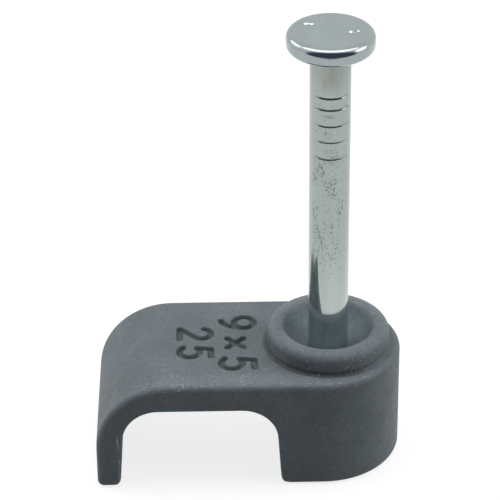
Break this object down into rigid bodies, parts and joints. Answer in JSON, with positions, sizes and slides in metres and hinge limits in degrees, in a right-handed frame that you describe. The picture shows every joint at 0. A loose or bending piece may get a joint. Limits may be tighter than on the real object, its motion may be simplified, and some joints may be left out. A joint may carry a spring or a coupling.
{
  "type": "nail-in cable clip",
  "caption": "Moulded saddle clip for flat cable, with a bent leg, a round-ended block and a hardened steel nail standing in the block's raised collar.",
  "frame": {"origin": "on the nail's axis, in the wall plane that the clip stands on", "axes": "+Z away from the wall along the nail, +X towards the round end, +Y along the cable"},
  "size_m": [0.0169, 0.0088, 0.026],
  "materials": {
    "plastic": "fine satin moulded grain",
    "steel": "bright zinc plate"
  },
  "bodies": {
    "root": {"clip_body": "plastic", "nail": "steel"}
  },
  "joints": []
}
